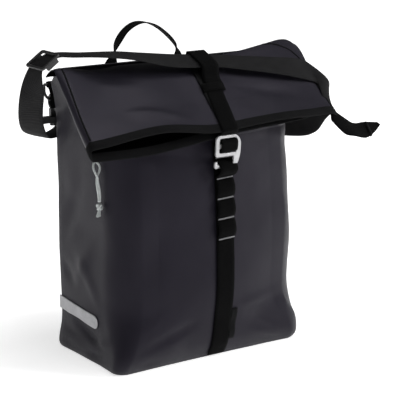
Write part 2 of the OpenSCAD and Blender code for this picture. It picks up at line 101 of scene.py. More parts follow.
def spline(points, per=10):
    """Catmull-Rom through rows of numbers."""
    p = np.array(points, float)
    p = np.vstack([2 * p[0] - p[1], p, 2 * p[-1] - p[-2]])
    out = []
    for i in range(1, len(p) - 2):
        a, b, c, d = p[i - 1:i + 3]
        for k in range(per):
            t = k / per
            out.append(0.5 * (2 * b + (c - a) * t + (2 * a - 5 * b + 4 * c - d) * t * t
                              + (3 * b - a - 3 * c + d) * t**3))
    out.append(p[-2])
    return np.array(out)


def path_of(rows):
    """Rows of centre and half-width vector, as arrays for strip()."""
    return [(np.array(c, float), np.array(w, float)) for c, w in rows]


def make(name, verts_mm, faces, mat):
    mesh = bpy.data.meshes.new(name)
    mesh.from_pydata([tuple(np.array(v) * MM) for v in verts_mm], [], faces)
    mesh.update()
    obj = bpy.data.objects.new(name, mesh)
    bpy.context.collection.objects.link(obj)
    for poly in mesh.polygons:
        poly.use_smooth = True
    mesh.materials.append(mat)
    return obj


def apply_all(obj):
    """Replaces the mesh with the result of its modifiers."""
    bpy.context.view_layer.update()
    deps = bpy.context.evaluated_depsgraph_get()
    mesh = bpy.data.meshes.new_from_object(obj.evaluated_get(deps))
    obj.modifiers.clear()
    old = obj.data
    obj.data = mesh
    mesh.name = old.name
    return obj


def fix_normals(obj):
    bm = bmesh.new()
    bm.from_mesh(obj.data)
    bmesh.ops.remove_doubles(bm, verts=bm.verts, dist=1e-6)
    bmesh.ops.recalc_face_normals(bm, faces=bm.faces)
    bm.to_mesh(obj.data)
    bm.free()
    return obj


def grid(name, rows, mat, closed=False, cap_first=False, cap_last=False):
    """Quads between rows of points; closed joins each row's last point to its first."""
    n = len(rows[0])
    verts = [p for row in rows for p in row]
    faces = []
    span = n if closed else n - 1
    for r in range(len(rows) - 1):
        for c in range(span):
            d = (c + 1) % n
            faces.append((r * n + c, r * n + d, (r + 1) * n + d, (r + 1) * n + c))
    if cap_first:
        faces.append(tuple(reversed(range(n))))
    if cap_last:
        faces.append(tuple(range((len(rows) - 1) * n, len(rows) * n)))
    return fix_normals(make(name, verts, faces, mat))


def thicken(obj, thick):
    """Gives a sheet its thickness, half on each side."""
    m = obj.modifiers.new("solid", "SOLIDIFY")
    m.thickness, m.offset, m.use_even_offset = thick * MM, 0, True
    return apply_all(obj)


def strip(name, path, thick, mat, per=8, cross=6, crown=0.0):
    """Webbing: path rows are centre xyz and half-width vector xyz, in millimetres."""
    rows = spline([list(c) + list(w) for c, w in path], per)
    rings = []
    for i, row in enumerate(rows):
        c, w = row[:3], row[3:]
        t = rows[min(i + 1, len(rows) - 1)][:3] - rows[max(i - 1, 0)][:3]
        n = np.cross(t, w)
        n = n / (np.linalg.norm(n) + 1e-9)
        top, low = [], []
        for k in range(cross + 1):
            f = -1 + 2 * k / cross
            lift = crown * (1 - f * f)
            edge = thick / 2 * (0.55 if abs(f) > 0.99 else 1.0)
            top.append(c + w * f + n * (edge + lift))
            low.append(c + w * f + n * (-edge + lift))
        rings.append(top + [c + w * 1.02] + low[::-1] + [c - w * 1.02])
    return grid(name, rings, mat, closed=True, cap_first=True, cap_last=True)


def tube(name, points, radius, mat, sides, per, taper=None):
    """Round cord along the points; also returns the points of its centre line."""
    pts = spline(points, per)
    rings = []
    ref = np.array([0.3, 0.9, 0.2])
    for i, p in enumerate(pts):
        t = pts[min(i + 1, len(pts) - 1)] - pts[max(i - 1, 0)]
        t = t / np.linalg.norm(t)
        u = ref - t * np.dot(ref, t)
        u /= np.linalg.norm(u)
        ref = u
        v = np.cross(t, u)
        r = radius if taper is None else radius * taper(i / (len(pts) - 1))
        rings.append([p + r * (math.cos(a) * u + math.sin(a) * v)
                      for a in np.linspace(0, 2 * math.pi, sides, endpoint=False)])
    return grid(name, rings, mat, closed=True, cap_first=True, cap_last=True), pts


def soft_box(name, size, bevel, mat, place):
    """Box with rounded edges, moved by place."""
    x, y, z = [s / 2 for s in size]
    verts = [(a * x, b * y, c * z) for a in (-1, 1) for b in (-1, 1) for c in (-1, 1)]
    faces = [(0, 1, 3, 2), (4, 6, 7, 5), (0, 4, 5, 1), (2, 3, 7, 6), (0, 2, 6, 4), (1, 5, 7, 3)]
    obj = fix_normals(make(name, verts, faces, mat))
    m = obj.modifiers.new("bevel", "BEVEL")
    m.width, m.segments = bevel * MM, 3
    apply_all(obj)
    obj.data.transform(place)
    return obj


def join(name, objs):
    """One object from several, with their materials kept in order."""
    bm = bmesh.new()
    mats = []
    for o in objs:
        index = []
        for m in o.data.materials:
            if m not in mats:
                mats.append(m)
            index.append(mats.index(m))
        start = len(bm.faces)
        mesh = o.data.copy()
        mesh.transform(o.matrix_world)
        bm.from_mesh(mesh)
        bm.faces.ensure_lookup_table()
        for f in bm.faces[start:]:
            f.material_index = index[min(f.material_index, len(index) - 1)]
        bpy.data.meshes.remove(mesh)
        bpy.data.objects.remove(o)
    mesh = bpy.data.meshes.new(name)
    bm.to_mesh(mesh)
    bm.free()
    obj = bpy.data.objects.new(name, mesh)
    bpy.context.collection.objects.link(obj)
    for m in mats:
        mesh.materials.append(m)
    return obj


# ---------------------------------------------------------------- materials
class Nodes:
    def __init__(self, name):
        self.mat = bpy.data.materials.new(name)
        self.mat.use_nodes = True
        self.tree = self.mat.node_tree
        self.tree.nodes.clear()
        self.out = self.add("ShaderNodeOutputMaterial")
        self.bsdf = self.add("ShaderNodeBsdfPrincipled")
        self.link(self.bsdf, "BSDF", self.out, "Surface")
        self.coord = self.add("ShaderNodeTexCoord")

    def add(self, kind, **values):
        n = self.tree.nodes.new(kind)
        for k, v in values.items():
            if k in n.inputs:
                n.inputs[k].default_value = v
            else:
                setattr(n, k, v)
        return n

    def link(self, a, out, b, into):
        self.tree.links.new(a.outputs[out], b.inputs[into])

    def noise(self, scale, detail=3.0, rough=0.55):
        n = self.add("ShaderNodeTexNoise", Scale=scale, Detail=detail, Roughness=rough)
        self.link(self.coord, "Object", n, "Vector")
        return n

    def ramp(self, source, out, stops):
        r = self.add("ShaderNodeValToRGB")
        r.color_ramp.elements[0].position = stops[0][0]
        r.color_ramp.elements[0].color = (*stops[0][1], 1)
        r.color_ramp.elements[1].position = stops[-1][0]
        r.color_ramp.elements[1].color = (*stops[-1][1], 1)
        for pos, col in stops[1:-1]:
            r.color_ramp.elements.new(pos).color = (*col, 1)
        self.link(source, out, r, "Fac")
        return r

    def surface(self, values):
        for name, value in values.items():
            self.bsdf.inputs[name].default_value = value

    def roughness(self, limits, scale, detail=3.0):
        """Noise between two limits."""
        r = self.add("ShaderNodeMapRange")
        r.inputs["To Min"].default_value, r.inputs["To Max"].default_value = limits
        self.link(self.noise(scale, detail), "Fac", r, "Value")
        self.link(r, "Result", self.bsdf, "Roughness")

    def multiply(self, a, b, factor):
        """Base colour as ramp a, multiplied by ramp b."""
        mix = self.add("ShaderNodeMix", data_type="RGBA", blend_type="MULTIPLY")
        mix.inputs["Factor"].default_value = factor
        self.link(a, "Color", mix, "A")
        self.link(b, "Color", mix, "B")
        self.link(mix, "Result", self.bsdf, "Base Color")

    def maths(self, op, a, b):
        n = self.add("ShaderNodeMath", operation=op)
        for i, v in enumerate((a, b)):
            if isinstance(v, tuple):
                self.tree.links.new(v[0].outputs[v[1]], n.inputs[i])
            else:
                n.inputs[i].default_value = v
        return n

    def threads(self, pitch, diagonal=False):
        """Plain weave as the product of two thread waves, pitch in metres."""
        sep = self.add("ShaderNodeSeparateXYZ")
        self.link(self.coord, "Object", sep, "Vector")
        k = 2 * math.pi / pitch
        across = self.maths("ADD", (sep, "X"), (sep, "Y"))
        if diagonal:
            across = self.maths("ADD", (across, 0), (sep, "Z"))
        a = self.maths("SINE", (self.maths("MULTIPLY", (across, 0), k), 0), 0.0)
        b = self.maths("SINE", (self.maths("MULTIPLY", (sep, "Z"), k), 0), 0.0)
        return self.maths("MULTIPLY", (a, 0), (b, 0))

    def bump(self, parts):
        """parts are (node, output, strength, distance)."""
        last = None
        for node, out, strength, dist in parts:
            b = self.add("ShaderNodeBump", Strength=strength, Distance=dist)
            self.link(node, out, b, "Height")
            if last is not None:
                self.link(last, "Normal", b, "Normal")
            last = b
        self.link(last, "Normal", self.bsdf, "Normal")


def fabric(name, dark, light, pitch, rough, sheen, spec, weave=0.25, wrinkle=0.0):
    """Coated cloth: blotched colour, fine grain, weave and optional wrinkles."""
    n = Nodes(name)
    col = n.ramp(n.noise(9.0, 4.0), "Fac", [(0.3, dark), (0.7, light)])
    grain = n.ramp(n.noise(900.0, 2.0), "Fac", [(0.3, (0.7, 0.7, 0.7)), (0.7, (1.15, 1.15, 1.15))])
    n.multiply(col, grain, 0.35)
    n.roughness(rough, 26.0)
    n.surface({"Sheen Weight": sheen, "Sheen Roughness": 0.4, "Specular IOR Level": spec,
               "Specular Tint": (0.92, 0.86, 1.0, 1)})
    parts = [(n.threads(pitch), 0, weave, 0.0003)]
    if wrinkle:
        parts.insert(0, (n.noise(11.0, 3.0, 0.5), "Fac", wrinkle, 0.004))
    n.bump(parts)
    return n.mat


def webbing(name, dark, light, rough=(0.72, 0.9), pitch=0.0021, spec=0.07):
    """Diagonal weave with a fine thread grain over it."""
    n = Nodes(name)
    col = n.ramp(n.noise(60.0, 4.0), "Fac", [(0.3, dark), (0.7, light)])
    weave = n.threads(pitch, True)
    tint = n.ramp(n.maths("MULTIPLY_ADD", (weave, 0), 0.5), "Value",
                  [(0.0, (0.75, 0.75, 0.75)), (1.0, (1.25, 1.25, 1.25))])
    n.multiply(col, tint, 0.6)
    n.roughness(rough, 40.0)
    n.surface({"Sheen Weight": 0.015, "Specular IOR Level": spec})
    n.bump([(weave, 0, 0.6, 0.0004), (n.noise(700.0), "Fac", 0.25, 0.0003)])
    return n.mat


def hard(name, colour, rough, metallic, grain, strength, wear=None):
    """Metal, plastic or film; wear is the colour of its rubbed edges."""
    n = Nodes(name)
    c = np.array(colour)
    shades = [(0.3, tuple(c * 0.85)), (0.7, tuple(np.minimum(c * 1.12, 1)))]
    col = n.ramp(n.noise(70.0, 5.0), "Fac", shades)
    if wear is not None:
        geo = n.add("ShaderNodeNewGeometry")
        edge = n.ramp(geo, "Pointiness", [(0.52, (0, 0, 0)), (0.6, (1, 1, 1))])
        mix = n.add("ShaderNodeMix", data_type="RGBA")
        mix.inputs["B"].default_value = (*wear, 1)
        n.link(edge, "Color", mix, "Factor")
        n.link(col, "Color", mix, "A")
        n.link(mix, "Result", n.bsdf, "Base Color")
    else:
        n.link(col, "Color", n.bsdf, "Base Color")
    n.roughness(rough, 90.0, 4.0)
    n.surface({"Metallic": metallic})
    n.bump([(n.noise(grain, 2.0), "Fac", strength, 0.0003)])
    return n.mat


SHELL = fabric("coated_cloth", (0.0068, 0.0061, 0.0102), (0.0104, 0.0094, 0.0146), 0.0011,
               rough=(0.36, 0.5), sheen=0.02, weave=0.22, wrinkle=0.2, spec=0.15)
# The collar uses the shell's cloth made lighter and shinier: painted light on the upward-facing flap.
FLAP_PAINTED_LIGHTER = fabric("collar_cloth_painted_lighter", (0.0088, 0.008, 0.0128), (0.0126, 0.0116, 0.0172), 0.0011,
              rough=(0.36, 0.5), sheen=0.02, weave=0.22, wrinkle=0.24, spec=0.24)
# The collar's inner face is real cloth, but its near-black, dull colour is painted shade for the inside
# of the mouth gap.
COLLAR_INSIDE_SHADE = fabric("lining_cloth", (0.0004, 0.0004, 0.0005), (0.0008, 0.0008, 0.0009), 0.0009,
                rough=(0.8, 0.92), sheen=0.0, spec=0.01)
WEB = webbing("black_webbing_cloth", (0.0009, 0.0009, 0.001), (0.0018, 0.0018, 0.0019), spec=0.035)
STRAP = webbing("shoulder_webbing_cloth", (0.005, 0.0049, 0.0054), (0.009, 0.0088, 0.0094),
                pitch=0.0026, spec=0.14)
BIND = webbing("binding_tape", (0.003, 0.003, 0.0033), (0.005, 0.005, 0.0055), pitch=0.0016)
METAL = hard("satin_aluminium", (0.42, 0.42, 0.43), (0.36, 0.5), 0.5, 600.0, 0.08)
BLACKMETAL = hard("black_plated_metal", (0.02, 0.02, 0.021), (0.3, 0.42), 0.4, 500.0, 0.08,
                  wear=(0.07, 0.07, 0.072))
STEEL = hard("plated_steel", (0.33, 0.33, 0.35), (0.28, 0.42), 1.0, 500.0, 0.08,
             wear=(0.6, 0.6, 0.62))
PLASTIC = hard("moulded_black", (0.011, 0.011, 0.0115), (0.42, 0.55), 0.0, 900.0, 0.2,
               wear=(0.025, 0.025, 0.026))
LATCH = hard("moulded_red", (0.22, 0.02, 0.02), (0.4, 0.5), 0.0, 900.0, 0.15, wear=(0.3, 0.05, 0.05))
REFLECT = hard("bead_film", (0.39, 0.39, 0.405), (0.30, 0.42), 0.0, 1500.0, 0.35)
CORD = webbing("braided_cord", (0.44, 0.47, 0.47), (0.58, 0.61, 0.60), (0.6, 0.75), 0.0013)
THREAD = webbing("satin_thread", (0.24, 0.24, 0.25), (0.36, 0.36, 0.37), (0.5, 0.7), 0.0008)


# ---------------------------------------------------------------- pull cord
def pull_cord():
    """Cord folded in two on the zip puller, knotted below, with a short flared tail."""
    knot_x, knot_y, knot_z = -159.4, -46.5, 236.5
    a = [(-162, -40.4, 299), (-159.5, -42, 297), (-156.5, -43.5, 292), (-157.5, -44.5, 286),
         (-160.5, -45, 281), (-162.5, -45.3, 274), (-162.2, -45.8, 264), (-160.9, -46.2, 254),
         (-160.2, -46.4, 243)]
    b = [(-162, -40.4, 299), (-165, -42, 297), (-166.8, -44.5, 291), (-165.8, -47.6, 284.5),
         (-163.4, -48.2, 279), (-161.6, -47.4, 271), (-159.6, -47.0, 262), (-158.6, -46.9, 252),
         (-158.6, -46.6, 243)]
    knot_pts = []
    for i in range(25):
        t = 2 * math.pi * i / 24
        r = 2.1 + 1.0 * math.cos(3 * t)
        knot_pts.append((knot_x + r * math.cos(2 * t) * 1.2, knot_y + r * math.sin(2 * t),
                         knot_z + 3.2 * math.sin(3 * t)))
    knot, _ = tube("cord_knot", knot_pts, 1.7, CORD, 10, 3)
    tails = []
    for dx, dy in ((-1.6, -0.6), (1.0, 0.8)):
        t, _ = tube("cord_tail", [(knot_x + dx * 0.3, knot_y, 233), (-160.2 + dx, -46.6 + dy, 228),
                                  (-161.2 + 1.7 * dx, -46.8 + dy, 222.5)], 1.5, CORD, 10, 5,
                    taper=lambda f: 1 + 0.25 * f)
        tails.append(t)
    knot = join("cord_knot", [knot] + tails)
    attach(knot, "zip_pull")
    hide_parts("pull_knot")
    for name, pts in (("pull_strand_a", a), ("pull_strand_b", b)):
        obj, path = tube(name, pts, 1.5, CORD, 12, 5)
        path = [tuple(p * MM) for p in path]
        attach(obj, "zip_pull")
        if name.endswith("a"):
            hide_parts("pull_cord")


pull_cord()


# ---------------------------------------------------------------- body shell
HALF_W = 155.0
BACK_Y = 82.0
SHELL_TOP = 328                 # where the body ends and the throat begins
BASE_EDGE = 7                   # height of the rounding at the base
# Rows are height and y of the front's centre line.
FRONT_Y = [(0, -80), (8, -86), (25, -95), (60, -104), (100, -110), (150, -112), (200, -111.5),
           (250, -108), (290, -103), (328, -99)]


def front_bow(z):
    """How far the front falls back from its centre line to its corners."""
    return 14 - 16 * smooth(95, 0, z)


def front_y(x, z):
    """Front panel at x, bowed over its width."""
    y = curve_table(FRONT_Y, z)
    return y + front_bow(z) * (x / (HALF_W - 60)) ** 2


def outline(z, w=HALF_W, yf=None, yb=BACK_Y, bow=None, rf=None, rb=7.0):
    """Ring of points round the body, anticlockwise from the middle of the front.

    w is the half width, yf and yb the front and back, rf and rb their corner radii.
    """
    yf = curve_table(FRONT_Y, z) if yf is None else yf
    bow = front_bow(z) if bow is None else bow
    rf = 58 - 40 * smooth(105, 0, z) if rf is None else rf
    flat = w - rf
    right = []
    for k in range(25):
        x = flat * k / 24
        right.append((x, yf + bow * (x / flat) ** 2))
    slope = math.atan2(2 * bow, flat)
    yc = yf + bow
    for k in range(1, 15):
        a = -math.pi / 2 + slope + (math.pi / 2 - slope) * k / 14
        cx, cy = w - rf, yc + rf * 0.97
        right.append((cx + rf * math.cos(a), max(cy + rf * math.sin(a), yc)))
    y0 = right[-1][1]
    for k in range(1, 16):
        right.append((w, y0 + (yb - rb - y0) * k / 15))
    for k in range(1, 5):
        a = math.pi / 2 * k / 4
        right.append((w - rb + rb * math.cos(a), yb - rb + rb * math.sin(a)))
    for k in range(1, 25):
        right.append(((w - rb) * (1 - k / 24), yb))
    left = [(-x, y) for x, y in right[1:-1]][::-1]
    return right + left


def dent(p, centre, radii, amount):
    """Soft push at a place: amount times a bump of the given radii."""
    d = sum(((p[i] - centre[i]) / radii[i]) ** 2 for i in range(3))
    return amount * math.exp(-d)


def crease(p, a, b, width):
    """0..1 near the segment a-b, for folds in the cloth."""
    a, b, p = np.array(a, float), np.array(b, float), np.array(p, float)
    t = np.clip(np.dot(p - a, b - a) / np.dot(b - a, b - a), 0, 1)
    d = np.linalg.norm(p - a - (b - a) * t)
    return math.exp(-(d / width) ** 2) * math.sin(math.pi * min(max(t, 0.04), 0.96)) ** 0.5


FOLDS = [  # start, end, width, depth
    ((36, -104, 78), (110, -97, 82), 6, 2.8), ((106, -98, 82), (152, -82, 30), 7, 4.2),
    ((56, -100, 58), (142, -84, 22), 9, -4.6), ((66, -100, 34), (120, -88, 14), 6, 2.6),
    ((120, -92, 66), (155, -30, 48), 8, 2.6), ((-44, -101, 60), (-124, -90, 34), 7, -4.2),
    ((-60, -98, 30), (-110, -88, 62), 7, 2.4), ((-104, -94, 70), (-152, -50, 26), 8, 4.0),
    ((-155, 40, 56), (-155, -48, 28), 8, -4.4), ((-155, 4, 14), (-155, -58, 44), 7, 3.4),
    ((-155, 70, 26), (-155, 20, 20), 6, 2.4), ((-155, 66, 132), (-155, 36, 106), 8, -2.6),
    ((-155, 66, 300), (-155, 20, 380), 9, -2.6), ((-150, -55, 330), (-160, -10, 395), 9, 2.4),
    ((-155, 60, 180), (-155, 20, 240), 12, -2.6), ((-155, 30, 110), (-155, -10, 170), 12, 2.4),
    ((80, -104, 300), (150, -60, 324), 9, 2.4), ((40, -108, 318), (140, -66, 292), 8, -2.0),
    ((-40, -108, 300), (-130, -78, 315), 12, -2.4), ((155, 40, 60), (155, -20, 25), 8, -3.2),
    ((155, 60, 310), (160, 0, 380), 10, -2.6), ((-96, -104, 200), (-128, -84, 90), 18, -2.6),
    ((-155, 0, 16), (-138, -86, 8), 6, -3.4), ((-154, -34, 38), (-128, -86, 12), 5, 3.0),
    ((-100, -90, 12), (-146, -80, 24), 5, -2.6), ((-155, 20, 150), (-155, -30, 90), 9, 2.4),
    ((110, -100, 230), (150, -56, 120), 16, 2.4), ((155, 50, 200), (155, -10, 140), 12, -2.4),
]


DENTS = [  # centre, radii, push: corners out, sides and front in
    ((-155, -78, 10), (20, 30, 27), 3.0), ((-155, 74, 10), (16, 22, 22), 5.0),
    ((-152, -20, 250), (40, 60, 90), -2.6), ((155, -78, 10), (20, 30, 27), 5.0),
    ((155, 74, 10), (16, 22, 22), 3.0), ((152, -20, 250), (40, 60, 90), -2.6),
    ((-70, -105, 200), (60, 40, 70), -2.2), ((85, -100, 60), (40, 40, 18), -2.0),
]


def body_loops():
    """Rings from the base up, then through the throat to the mouth's ridge."""
    loops = []
    for z in np.concatenate([[0, 1.2, 3.5, 7, 12, 18], np.linspace(25, SHELL_TOP, 62)]):
        edge = 4 * (1 - math.sqrt(max(1 - ((BASE_EDGE - min(z, BASE_EDGE)) / BASE_EDGE) ** 2, 0)))
        ring = outline(z, HALF_W - edge * 0.7, None, BACK_Y - edge * 0.7)
        loops.append([(x, y, z) for x, y in ring])
    for t in np.linspace(0.04, 1, 26):
        w = HALF_W + 48 * t ** 1.25
        s = 137 * (1 - t) + 6
        low = FOLD + ALONG * s - ABOVE * (21 - 12 * smooth(0.8, 1.0, t))
        yf, zf = low[1], low[2]
        if t < 0.42:            # the back stands up to 390, then rolls forward
            yb, zb = BACK_Y, SHELL_TOP + (390 - SHELL_TOP) * t / 0.42
        else:
            k = (t - 0.42) / 0.58
            yb, zb = BACK_Y - 79 * k ** 1.1, 390 + 32 * math.sin(math.pi / 2 * k)
        ring = outline(SHELL_TOP, w, yf, yb, 14 * (1 - t), 58 * (1 - t) + 6, max(7 * (1 - t), 2))
        row = []
        for x, y in ring:
            f = (y - yf) / max(yb - yf, 1)
            lift = zf + (zb - zf) * smooth(-0.05, 1.0, f) ** 0.85
            # the photo shows the throat narrower at the left
            row.append((x * (1 - 0.105 * t) if x < 0 else x, y, lift))
        loops.append(row)
    return loops


def shape_body(p):
    """Wrinkles, slack and pushed-out bottom corners."""
    x, y, z = p
    nrm = np.array([x / HALF_W, (y + 14) / 96.0, 0.0])
    ax, ay = abs(nrm[0]) ** 5, abs(nrm[1]) ** 5
    d = np.array([math.copysign(ax, nrm[0]), math.copysign(ay, nrm[1]), 0.0])
    d = d / (np.linalg.norm(d) + 1e-6)
    push = 0.0
    for a, b, width, depth in FOLDS:
        push += depth * crease(p, a, b, width)
    push += 2.5 * noise.noise(Vector((x * 0.011, y * 0.011, z * 0.009)))
    push += 0.7 * noise.noise(Vector((x * 0.03 + 5, y * 0.03, z * 0.022)))
    for centre, radii, amount in DENTS:
        push += dent(p, centre, radii, amount)
    fade = 0.8 + 0.2 * smooth(0, 8, z)
    if y > 81:                  # the stiffened back hardly moves
        fade *= 0.25
    q = np.array(p, float) + d * push * fade
    q[1] = min(q[1], 82.2)
    return q


def body_shell():
    loops = [[shape_body(p) for p in row] for row in body_loops()]
    base = []
    for f in (0.0, 0.35, 0.7, 0.9):
        base.append([(p[0] * f, -5 + (p[1] + 5) * f, 0.0) for p in loops[0]])
    obj = grid("body_shell", base + loops, SHELL, closed=True)
    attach(obj, "root")
    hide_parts("base_panel", "front_panel", "side_panel_left", "side_panel_right", "back_panel",
                "back_stiffener", "throat_front", "throat_back", "ear_left", "ear_right")


body_shell()


def on_front(x, z, off=0.0):
    """Point of the shaped front panel at x, z, moved out by off."""
    y = front_y(x, z) if abs(x) < 97 else front_y(97 * np.sign(x), z)
    p = shape_body((x, y, z))
    return np.array([x, p[1] - off, z])


def on_side(sign, y, z, off=0.0):
    """Point of a shaped side, moved out by off."""
    p = shape_body((sign * HALF_W, y, z))
    return np.array([p[0] + sign * off, y, z])


# ---------------------------------------------------------------- collar
# Rows are x and a value: the ridge's height and depth, then for the outer layer (LIP) and
# the inner layer (IN) the lip's distance above the fold line (_H) and down it (_S).
RIDGE_Z = [(-206, 427), (-194, 428), (-157, 423), (-134, 422), (-94, 424), (-53, 423), (-3, 422),
           (57, 424), (101, 428), (142, 433), (164, 435), (186, 436), (206, 433), (218, 425)]
RIDGE_Y = [(-206, -10), (90, -10), (150, -4), (190, 8), (206, 12)]
LIP_H = [(-212, -1), (-182, 5), (-151, 9), (-100, 11), (-60, 8), (-20, 4.5), (18, 6), (60, 8),
         (109, 9), (160, 6), (193, 3), (206, -2)]
LIP_S = [(-212, 146), (-182, 146.5), (-100, 141), (-20, 147), (60, 144), (109, 143), (193, 147.5),
         (206, 151)]
IN_H = [(-212, -19), (-179, -21), (-117, -21), (-60, -17), (-12, -12), (30, -9), (106, -7),
        (170, -8), (206, -12)]
IN_S = [(-212, 152), (-179, 152), (-117, 152), (-12, 145), (30, 142), (106, 139), (150, 137),
        (185, 130), (206, 124)]


def ridge_point(x, v):
    """Where the fold line passes at x; its unevenness fades towards the lip."""
    z = FOLD[2] + (curve_table(RIDGE_Z, x) - FOLD[2]) * (1 - v) ** 1.5
    return np.array([x, curve_table(RIDGE_Y, x), z])


def ridge_shift(x, v):
    """Takes back the ridge's own depth further down the flap."""
    shift = (curve_table(RIDGE_Y, x) - FOLD[1]) * v
    return np.array([0, shift * 0.75, shift * -0.35]) * 0.6


def out_point(x, v, off=0.0):
    """Outer face of the folded collar: x across, v from 0 at the ridge to 1 at the lip."""
    s = v * curve_table(LIP_S, x)
    h = curve_table(LIP_H, x) * v ** 1.7
    belly = math.sin(math.pi * v)
    h += 2.4 * belly * math.cos(x * 0.021 + 0.6) + 1.6 * math.sin(math.pi * min(v * 1.6, 1))
    h += 2.2 * noise.noise(Vector((x * 0.016, s * 0.014, 3.0))) * math.sin(math.pi * min(v + 0.12, 1))
    p = (x, s, 0)
    h += (3.2 * crease(p, (-130, 96, 0), (-62, 116, 0), 9)
          - 2.2 * crease(p, (-150, 18, 0), (-90, 40, 0), 10))
    h -= 2.0 * crease(p, (60, 70, 0), (150, 100, 0), 10)
    h -= 3.5 * math.exp(-s / 7.0)
    return ridge_point(x, v) + ALONG * s + ABOVE * (h + off) - ridge_shift(x, v)


def in_point(x, v, off=0.0):
    """Inner face of the folded collar, in the same terms."""
    s = v * curve_table(IN_S, x)
    h = -5 + (curve_table(IN_H, x) + 5) * smooth(0, 1, v) ** 0.7
    h = min(h, -6 - 5 * smooth(0, 0.3, v) * (1 - smooth(0.75, 1, v)))
    return ridge_point(x, v) + ALONG * s + ABOVE * (h + off) - ridge_shift(x, v)


def x_left(v):
    """Left end of the outer layer."""
    return -196 - 15 * v - 1.5 * math.sin(math.pi * v)


def x_right(v):
    """Right end of the outer layer, flared at the ridge."""
    return 203 + 3 * math.sin(math.pi * v) - 2 * v + 13 * smooth(0.5, 0, v)


def collar_loop(v, off=0.0):
    """Closed ring round both layers of the collar at v, grown by off."""
    xl, xr = x_left(v), x_right(v)
    row = []
    for k in range(61):
        x = xl + (xr - xl) * k / 60
        row.append(out_point(x, v, off))
    a, b = out_point(xr, v, off), in_point(xr - 1, v, -off)
    for k in range(1, 6):
        f = k / 6
        row.append(a + (b - a) * f + np.array([(4 + off) * math.sin(math.pi * f), 0, 0]))
    xi = -203 - 3 * v
    for k in range(61):
        x = (xr - 1) + (xi - (xr - 1)) * k / 60
        row.append(in_point(x, v, -off))
    a, b = in_point(xi, v, -off), out_point(xl, v, off)
    for k in range(1, 6):
        f = k / 6
        row.append(a + (b - a) * f - np.array([(4.5 + off) * math.sin(math.pi * f), 0, 0]))
    return row


def collar_shell():
    """Flap from inside the throat, over the ridge and down to the lip."""
    rows = []
    first = collar_loop(0.0)
    for back, drop in ((22, 13), (15, 7), (8, 2.5)):
        rows.append([p + np.array([0, back, -drop]) for p in first])
    rows += [collar_loop(v) for v in np.linspace(0, 1, 46)]
    # The outer faces take the lighter, shinier copy of the shell cloth, which is painted light.
    obj = grid("collar_shell", rows, FLAP_PAINTED_LIGHTER, closed=True)
    # The inside of the folded collar is coloured near black: painted shade for the mouth gap.
    obj.data.materials.append(COLLAR_INSIDE_SHADE)
    m = obj.modifiers.new("solid", "SOLIDIFY")
    m.thickness, m.offset, m.material_offset = 1.0 * MM, -1, 1
    apply_all(obj)
    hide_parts("collar_outer", "collar_inner", "collar_edge_left", "collar_edge_right")
    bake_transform(obj)


collar_shell()


def lip_binding():
    """Tape folded over the edge of the mouth, all the way round."""
    flap, tape = 146, 12
    section = [(1 - 12.6 / flap, 0.2), (1 - tape / flap, 1.3), (1 - tape / 2 / flap, 1.5), (1.0, 1.3),
               (1.006, 0.4), (1.012, -0.6), (1.006, -1.9), (1 - tape / flap, -2.0)]
    obj = grid("lip_binding", [collar_loop(v, off) for v, off in section], BIND, closed=True)
    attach(obj, "rolltop")
    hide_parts("outer_lip_binding", "inner_lip_binding")


lip_binding()


def seam_line(name, pts, width, mat):
    """Narrow raised seam through points that already lie on the cloth; rows are point, normal."""
    path = []
    for i, (p, n) in enumerate(pts):
        q = pts[min(i + 1, len(pts) - 1)][0] - pts[max(i - 1, 0)][0]
        w = np.cross(n, q)
        w = w / np.linalg.norm(w) * width / 2
        path.append((p, w))
    return strip(name, path, 0.5, mat, per=3, cross=4)


def collar_seams():
    left = [(x_left(v) + 2.2, v) for v in np.linspace(0.02, 0.9, 16)]
    right = [(146, 0.01), (162, 0.04), (176, 0.10), (190, 0.18), (198, 0.30), (200, 0.45), (199, 0.62),
             (200, 0.8), (200, 0.9)]
    pieces = [seam_line("flap_seam_" + side, [(out_point(x, v, 0.5), ABOVE) for x, v in line], 2.4, BIND)
              for side, line in (("left", left), ("right", right))]
    obj = join("flap_seams", pieces)
    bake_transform(obj)


collar_seams()


# ---------------------------------------------------------------- closure
WEB_X = 4                       # middle of the front webbing


def closure_x(v):
    """Middle of the closure webbing, which crosses the flap at a slant."""
    return 28 - 26 * v ** 0.9


